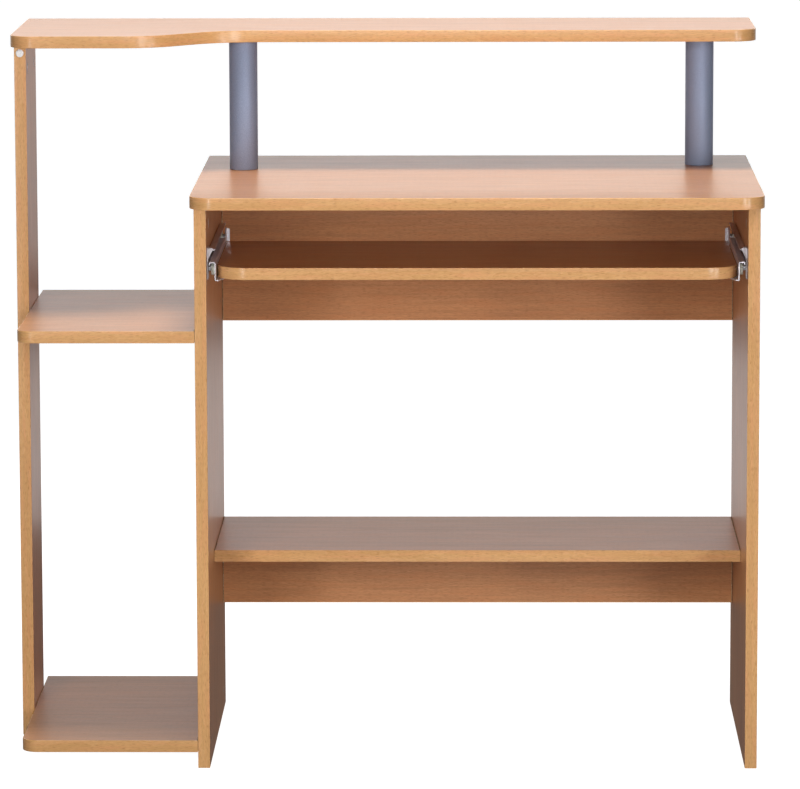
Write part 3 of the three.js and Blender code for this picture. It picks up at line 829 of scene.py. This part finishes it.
def add_cover_cap():
    """The cap's stem goes back into the upright's front edge, and its face is slightly dished."""
    node = "upright_cover_cap"
    low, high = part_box(node)
    start = middle(low, high, y=high.y)
    length = (high.y - low.y) / MM
    head, stem, soft = 5, 3.5, 0.6
    seat = length - 1.5
    profile = [(0, 0), (stem - soft, 0), (stem, soft), (stem, seat)]
    profile += [(head - 0.1, seat), (head, seat + 0.3), (head, length - 0.7)]
    profile += [(head - 0.2, length - 0.3), (head - 0.7, length), (1.9, length)]
    profile += [(1.5, length - 0.15), (1.1, length - 0.45), (0, length - 0.5)]
    stand_in(node, turned(profile, start, (0, -1, 0)), WHITE)
    hole = bore(stem + CLEAR, -CLEAR, seat + PAST)
    cutters.append(turned(hole, start, (0, -1, 0), SCREW_SIDES))


def add_posts():
    wall, soft, bevel = 1.5, 0.5, 0.15
    for node in ("post_left", "post_right"):
        low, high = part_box(node)
        radius, height = (high.x - low.x) / 2 / MM, (high.z - low.z) / MM
        inner = radius - wall
        profile = [(inner, soft), (inner + soft, 0), (radius - soft, 0), (radius - bevel, bevel)]
        profile += [(radius, soft), (radius, height - soft), (radius - bevel, height - bevel)]
        profile += [(radius - soft, height), (inner + soft, height), (inner, height - soft)]
        tube = turned(profile, middle(low, high, z=low.z), ALONG_Z, segments=96)
        stand_in(node, tube, PAINT, node + "_tube")


def add_plugs():
    hole, hole_soft, soft = BOLT_SHANK + CLEAR, 0.4, 0.6
    for node in nodes_with("_plug"):
        low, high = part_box(node)
        radius, height = (high.x - low.x) / 2 / MM, (high.z - low.z) / MM
        profile = [(hole, hole_soft), (hole + hole_soft, 0), (radius - soft, 0), (radius, soft)]
        profile += [(radius, height - soft), (radius - soft, height)]
        profile += [(hole + hole_soft, height), (hole, height - hole_soft)]
        stand_in(node, turned(profile, middle(low, high, z=low.z), ALONG_Z), GREY)


# ---------------------------------------------------------------- roller slides

# A slide is drawn in u, y and z: u is the distance out from the inner face of its side panel.
SHEET = 1.2 * MM
BEND = 0.6 * MM             # inside radius of the sheet's bends
FOLD = BEND + SHEET         # and their outside radius
TIP = 0.25 * MM             # the cut edges of the sheet
DEBURR = 0.15 * MM          # their chamfer
GAP = 0.3 * MM              # between a roller and the sheet that it rolls on
HEADROOM = 1.3 * MM         # between the rear roller and the channel over it
LAP = 2 * MM                # how far one part of a slide runs into the next
CORNER = 2 * MM             # the rounded corners of the heel and the tab

PLATE = 30 * MM             # the runner's front plate, ahead of its channel
PLATE_CORNER = 3 * MM
SHOULDER = 5 * MM           # how the plate narrows to the channel
STOP_REACH, STOP_DROP = 7 * MM, 13.5 * MM       # the folded stop at the runner's front
STOP_END, STOP_CORNER = 2 * MM, 0.6 * MM
SLOT_REACH, SLOT_HALF = 4.5 * MM, 2.2 * MM      # half the length and width of a slotted hole
SLOT_SHARES = (0.3, 0.62, 0.84)                 # where the slotted holes are along a runner
RUNNER_SCREW_SHARES = (0.38, 0.7, 0.92)         # and the screws, each a little behind a hole

WEB = 8.2 * MM              # the far face of a carrier's web, from the carrier's near side
HOOK = 3.7 * MM             # the carrier's downturned edge, over the front roller
HEEL = 26 * MM              # the carrier's rear end, past its rail
HEEL_TOP = 18 * MM          # the level part of the heel
TAB_REACH, TAB_DROP = 4 * MM, 2 * MM            # the folded tab at the carrier's rear
LIP, SLANT = 4.5 * MM, 24 * MM                  # the carrier's foot is cut away at its front
CARRIER_SCREW_SHARES = (0.12, 0.5, 0.88)
CARRIER_SCREW_INSET = 5 * MM                    # from the foot's far edge


def slide_space(side):
    """Returns the side's sign and its u = 0, the inner face of the side panel."""
    low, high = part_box(f"{side}_side_panel")
    return (1, high.x) if side == "left" else (-1, low.x)


def span_in_u(side, node):
    sign, face = slide_space(side)
    low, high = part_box(node)
    return sorted((sign * (low.x - face), sign * (high.x - face)))


def along_slide(side):
    """Maps (u, z, y) to space: a section drawn along the slide."""
    sign, face = slide_space(side)
    return lambda u, z, y: (face + sign * u, y, z)


def across_slide(side):
    """Maps (y, z, u) to space: a sheet parallel to the side panel."""
    sign, face = slide_space(side)
    return lambda y, z, u: (face + sign * u, y, z)


def slide_plan(side):
    """Maps (u, y, z) to space: a level outline."""
    sign, face = slide_space(side)
    return lambda u, y, z: (face + sign * u, y, z)


def add_runner(side):
    """A channel for the rear roller, with a deeper plate in front for the front roller's pin."""
    node = f"{side}_runner"
    low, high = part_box(node)
    near, far = span_in_u(side, node)
    roller_low, roller_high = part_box(f"{side}_rear_roller")
    bottom = roller_low.z - GAP - SHEET
    top = roller_high.z + HEADROOM + SHEET
    front = low.y + PLATE
    channel = prism([
        (near, bottom, FOLD),
        (far, bottom, TIP),
        (far, bottom + SHEET, TIP),
        (near + SHEET, bottom + SHEET, BEND),
        (near + SHEET, top - SHEET, BEND),
        (far, top - SHEET, TIP),
        (far, top, TIP),
        (near, top, FOLD),
    ], front, high.y, along_slide(side))
    plate = prism([
        (low.y, low.z, PLATE_CORNER),
        (front - PLATE_CORNER - SHOULDER, low.z, PLATE_CORNER),
        (front + LAP, bottom + FOLD),
        (front + SHOULDER, bottom + FOLD),
        (front + SHOULDER, top - FOLD),
        (front - SHOULDER, high.z),
        (low.y, high.z),
    ], near, near + SHEET, across_slide(side))
    reach, foot = near + STOP_REACH, high.z - STOP_DROP
    stop = prism([
        (near, foot),
        (near + SHEET, foot),
        (reach, high.z - STOP_END, STOP_CORNER),
        (reach, high.z, STOP_CORNER),
        (near, high.z),
    ], low.y, low.y + SHEET, along_slide(side))
    holes = []
    z = (bottom + top) / 2
    round_end = SLOT_HALF * 0.98        # so that an end's two arcs don't quite meet
    for share in SLOT_SHARES:
        y = low.y + (high.y - low.y) * share
        slot = [
            (y - SLOT_REACH, z - SLOT_HALF, round_end),
            (y + SLOT_REACH, z - SLOT_HALF, round_end),
            (y + SLOT_REACH, z + SLOT_HALF, round_end),
            (y - SLOT_REACH, z + SLOT_HALF, round_end),
        ]
        holes.append(prism(slot, near - SHEET, near + 2 * SHEET, across_slide(side)))
    body = combined(combined(channel, [plate, stop], "UNION"), holes, "DIFFERENCE")
    stand_in(node, chamfered(body, DEBURR), ZINC)


def add_carrier(side):
    """A folded rail with a foot under the tray, and a heel behind it for the rear roller's pin."""
    node = f"{side}_carrier"
    low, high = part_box(node)
    near, far = span_in_u(side, node)
    web = near + WEB - SHEET
    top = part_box(f"{side}_front_roller")[1].z + GAP + SHEET
    back = high.y - HEEL
    hook_end = top - HOOK
    foot = [
        (web, low.z, FOLD),
        (far, low.z, TIP),
        (far, low.z + SHEET, TIP),
        (web + SHEET, low.z + SHEET, BEND),
    ]
    hook = [
        (web + SHEET, top, FOLD),
        (near, top, FOLD),
        (near, hook_end, TIP),
        (near + SHEET, hook_end, TIP),
        (near + SHEET, top - SHEET, BEND),
        (web, top - SHEET, BEND),
    ]
    upright = [(web + SHEET, top - FOLD), (web, top - FOLD)]
    rail = prism(foot + hook, low.y, back, along_slide(side))
    heel = prism(foot + upright, back - LAP / 2, high.y, along_slide(side))
    rear = prism([
        (back - LAP, low.z + FOLD),
        (high.y, low.z + FOLD),
        (high.y, high.z, CORNER),
        (high.y - HEEL_TOP, high.z, CORNER),
        (back - LAP, top - FOLD),
    ], web, web + SHEET, across_slide(side))
    tab_top, tab_reach = high.z - TAB_DROP, web + SHEET + TAB_REACH
    tab = prism([
        (web, low.z + SHEET / 2),
        (tab_reach, low.z + SHEET / 2, CORNER / 2),
        (tab_reach, tab_top, CORNER),
        (web, tab_top),
    ], high.y - SHEET, high.y, along_slide(side))
    lip, slant, past = web + LIP, low.y + SLANT, PAST * MM
    offcut = prism([
        (lip, low.y - past),
        (far + past, low.y - past),
        (far + past, slant + 3 * past),
        (far, slant),
        (lip, low.y),
    ], low.z - past, low.z + 2 * SHEET, slide_plan(side))
    body = combined(combined(rail, [heel, rear, tab], "UNION"), [offcut], "DIFFERENCE")
    stand_in(node, chamfered(body, DEBURR), ZINC)


def add_roller(side, end):
    """A roller with a hub, a shallow ring and a tread, and the stepped pin that it turns on."""
    sign, _ = slide_space(side)
    outward = sign if end == "front" else -sign
    direction = (outward, 0, 0)

    node = f"{side}_{end}_roller"
    low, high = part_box(node)
    start = middle(low, high, x=low.x if outward > 0 else high.x)
    tread, width, soft = 9, 5, 0.4
    hole, hole_soft = 2.8, 0.2
    hub, hub_foot, rim_foot, rim, ring = 4.9, 5.2, 7.3, 7.6, 0.5
    recess, recess_floor = 4.4, 3.4
    profile = [(hole, hole_soft), (hole + hole_soft, 0)]
    profile += [(hub, 0), (hub_foot, ring), (rim_foot, ring), (rim, 0)]
    profile += [(tread - soft, 0), (tread, soft), (tread, width - soft), (tread - soft, width)]
    profile += [(rim, width), (rim_foot, width - ring), (hub_foot, width - ring), (hub, width)]
    profile += [(recess, width), (recess, recess_floor), (hole, recess_floor)]
    stand_in(node, turned(profile, start, direction, segments=64), NYLON)

    pin = f"{node}_pin"
    low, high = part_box(pin)
    start = middle(low, high, x=low.x if outward > 0 else high.x)
    length = (high.x - low.x) / MM
    shank, shank_soft, riveted, collar = 2.5, 0.3, 1.3, 4
    head_start, head_soft = length - 1, length - 0.7
    profile = [(0, 0), (shank - shank_soft, 0), (shank, shank_soft), (shank, riveted)]
    profile += [(collar, riveted), (collar, length - width), (shank, length - width)]
    profile += [(shank, head_start), (collar, head_start), (collar, head_soft)]
    profile += [(3.2, length - 0.2), (0, length)]
    stand_in(pin, turned(profile, start, direction, segments=40), STEEL)


def add_slide_screws(side):
    """The small screws that hold a runner to its side panel and a carrier to the tray."""
    sign, face = slide_space(side)
    master = slide_screw()

    def add(name, start, direction, body):
        data = laid(master, start, direction)
        data.materials.append(STEEL)
        place(name, data, body)

    low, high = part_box(f"{side}_runner")
    roller_low, roller_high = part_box(f"{side}_rear_roller")
    x = face + sign * (span_in_u(side, f"{side}_runner")[0] + SHEET)
    z = (roller_low.z + roller_high.z + HEADROOM - GAP) / 2
    for k, share in enumerate(RUNNER_SCREW_SHARES):
        start = (x, low.y + (high.y - low.y) * share, z)
        add(f"{side}_runner_screw_{k + 1}", start, (-sign, 0, 0), "desk")

    low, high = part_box(f"{side}_carrier")
    x = face + sign * (span_in_u(side, f"{side}_carrier")[1] - CARRIER_SCREW_INSET)
    for k, share in enumerate(CARRIER_SCREW_SHARES):
        start = (x, low.y + (high.y - low.y) * share, low.z)
        add(f"{side}_carrier_screw_{k + 1}", start, ALONG_Z, "tray")


# ---------------------------------------------------------------- the whole desk


def drill_boards():
    """Cuts each hole in the boards that it meets."""
    boxes = []
    for cutter in cutters:
        cutter.materials.clear()
        for material in BOARD_MATERIALS:
            cutter.materials.append(material)
        for face in cutter.polygons:
            face.material_index = CORE_INDEX
        points = [vertex.co for vertex in cutter.vertices]
        boxes.append([(min(p[k] for p in points), max(p[k] for p in points)) for k in range(3)])
    for piece in [piece for piece in bpy.data.objects if piece.name.endswith("_laminate")]:
        low, high = (Vector(corner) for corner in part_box(piece["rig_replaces"][0]))
        meets = [all(box[k][0] < high[k] and box[k][1] > low[k] for k in range(3)) for box in boxes]
        tools = [cutter for cutter, meeting in zip(cutters, meets) if meeting]
        if tools:
            split_faces(piece.data)
            drilled = combined(piece.data, tools, "DIFFERENCE")
            split_faces(drilled)
            shade_board(drilled)
            drilled.name = piece.name
            piece.data = drilled


add_boards()
add_screws()
add_cams()
add_bolts()
add_cover_cap()
add_posts()
add_plugs()
for side in ("left", "right"):
    add_runner(side)
    add_carrier(side)
    add_roller(side, "front")
    add_roller(side, "rear")
    add_slide_screws(side)
drill_boards()


# ---------------------------------------------------------------- floor, light and camera

FLOOR_REACH = 60            # from the middle of the floor to its edge, in metres
FLOOR_GAP = 0.5 * MM        # the floor is this far under the feet
CARDS_AWAY = 3.2            # from the middle of the desk to the upright cards round it
WALL_Y = 2.6                # a lit wall behind the desk
WALL_WIDTH = 6
LIT_FLOOR = 2 * MM          # height of the light from the floor
ANY_HEIGHT = 5              # a point above the lit floor, for its light to face

# The sky's brightness by height: 0 is straight down, 0.5 the horizon and 1 straight up.
SKY = [(0.0, 0.34), (0.52, 0.05), (1.0, 0.02)]

CAMERA_PLACE = (0.12627, -6.53223, 1.43913)
CAMERA_YAW, CAMERA_PITCH, CAMERA_ROLL = -0.945, 8.599, 0.158       # degrees
CAMERA_LENS, CAMERA_SENSOR = 234.18, 36                            # millimetres
CAMERA_REACH = 200          # metres


def make_floor():
    mesh = bmesh.new()
    bmesh.ops.create_grid(mesh, x_segments=1, y_segments=1, size=FLOOR_REACH)
    data = bpy.data.meshes.new("floor")
    mesh.to_mesh(data)
    mesh.free()
    s = Shader("pale_floor")
    s.set(Base_Color=(0.3, 0.3, 0.3, 1), Roughness=0.9, Specular_IOR_Level=0.0)
    s.set(Emission_Color=(1, 1, 1, 1), Emission_Strength=1.0)
    data.materials.append(s.material)
    floor = bpy.data.objects.new("floor", data)
    bpy.context.scene.collection.objects.link(floor)
    floor.location.z = CAD_BOX[0][2] - FLOOR_GAP
    floor.visible_diffuse = False
    floor.visible_glossy = False


def area_light(name, place_at, target, size, radiance):
    data = bpy.data.lights.new(name, "AREA")
    data.shape = "RECTANGLE"
    data.size, data.size_y = size
    data.energy = radiance * math.pi * size[0] * size[1]
    light = bpy.data.objects.new(name, data)
    bpy.context.scene.collection.objects.link(light)
    light.location = place_at
    light.rotation_euler = (Vector(target) - Vector(place_at)).to_track_quat("-Z", "Y").to_euler()
    light.visible_camera = False
    return light


def front_card(name, azimuth, width, low, high, radiance):
    """An upright card round the desk; azimuth 0 is in front and a positive one is to the right."""
    turn = math.radians(azimuth)
    level = (low + high) / 2
    place_at = (CARDS_AWAY * math.sin(turn), -CARDS_AWAY * math.cos(turn), level)
    return area_light(name, place_at, (0, 0, level), (width, high - low), radiance)


def wall_band(name, level, height, radiance):
    """A level band of the lit wall."""
    area_light(name, (0, WALL_Y, level), (0, 0, level), (WALL_WIDTH, height), radiance)


def lit_floor(name, x, y, size, radiance):
    """Light that the pale floor sends back up."""
    area_light(name, (x, y, LIT_FLOOR), (x, y, ANY_HEIGHT), size, radiance)


def make_world():
    """Light from the surroundings: brightest below the horizon, as from a pale floor."""
    world = bpy.data.worlds.new("studio")
    world.use_nodes = True
    tree = world.node_tree
    where = tree.nodes.new("ShaderNodeTexCoord")
    parts = tree.nodes.new("ShaderNodeSeparateXYZ")
    height = tree.nodes.new("ShaderNodeMapRange")
    height.inputs["From Min"].default_value = -1
    sky = tree.nodes.new("ShaderNodeValToRGB")
    fill_ramp(sky.color_ramp.elements, SKY)
    tree.links.new(where.outputs["Generated"], parts.inputs["Vector"])
    tree.links.new(parts.outputs["Z"], height.inputs["Value"])
    tree.links.new(height.outputs["Result"], sky.inputs["Fac"])
    tree.links.new(sky.outputs["Color"], tree.nodes["Background"].inputs["Color"])
    bpy.context.scene.world = world


def make_lights():
    area_light("key_above", (0.05, -0.3, 3.1), (0.05, 0.1, 0.7), (1.0, 0.7), 27)
    front_card("box_front", 2, 0.8, 0.9, 1.7, 7)
    front_card("box_right", 27, 0.5, 0.3, 1.3, 14)
    box_left = front_card("box_left", -18, 0.6, 0.8, 1.7, 20)
    box_left.visible_glossy = False
    front_card("strip_left", -24, 0.18, 0.1, 0.8, 25)
    front_card("strip_right", 44, 0.18, 0.1, 0.8, 25)
    wall_band("wall_top", 1.7, 0.4, 4.3)
    wall_band("wall_middle", 1.05, 0.3, 1.05)
    wall_band("wall_low", 0.6, 0.6, 0.49)
    lit_floor("floor_behind", 0, WALL_Y, (WALL_WIDTH, 2), 0.65)
    lit_floor("floor_front", 0.13, -0.6, (0.5, 0.6), 1.0)
    make_world()


def make_camera():
    yaw, pitch, roll = (math.radians(turn) for turn in (CAMERA_YAW, CAMERA_PITCH, CAMERA_ROLL))
    level_forward = Vector((math.sin(yaw), math.cos(yaw), 0))
    level_right = Vector((math.cos(yaw), -math.sin(yaw), 0))
    forward = level_forward * math.cos(pitch) - Vector((0, 0, math.sin(pitch)))
    down = forward.cross(level_right)
    right = math.cos(roll) * level_right + math.sin(roll) * down
    up = right.cross(forward)
    data = bpy.data.cameras.new("camera")
    data.sensor_width = CAMERA_SENSOR
    data.lens = CAMERA_LENS
    data.clip_end = CAMERA_REACH
    camera = bpy.data.objects.new("camera", data)
    bpy.context.scene.collection.objects.link(camera)
    turn = Matrix((right, up, -forward)).transposed().to_4x4()
    camera.matrix_world = Matrix.Translation(CAMERA_PLACE) @ turn
    bpy.context.scene.camera = camera


make_floor()
make_lights()
make_camera()
bpy.context.scene.view_settings.view_transform = "Standard"
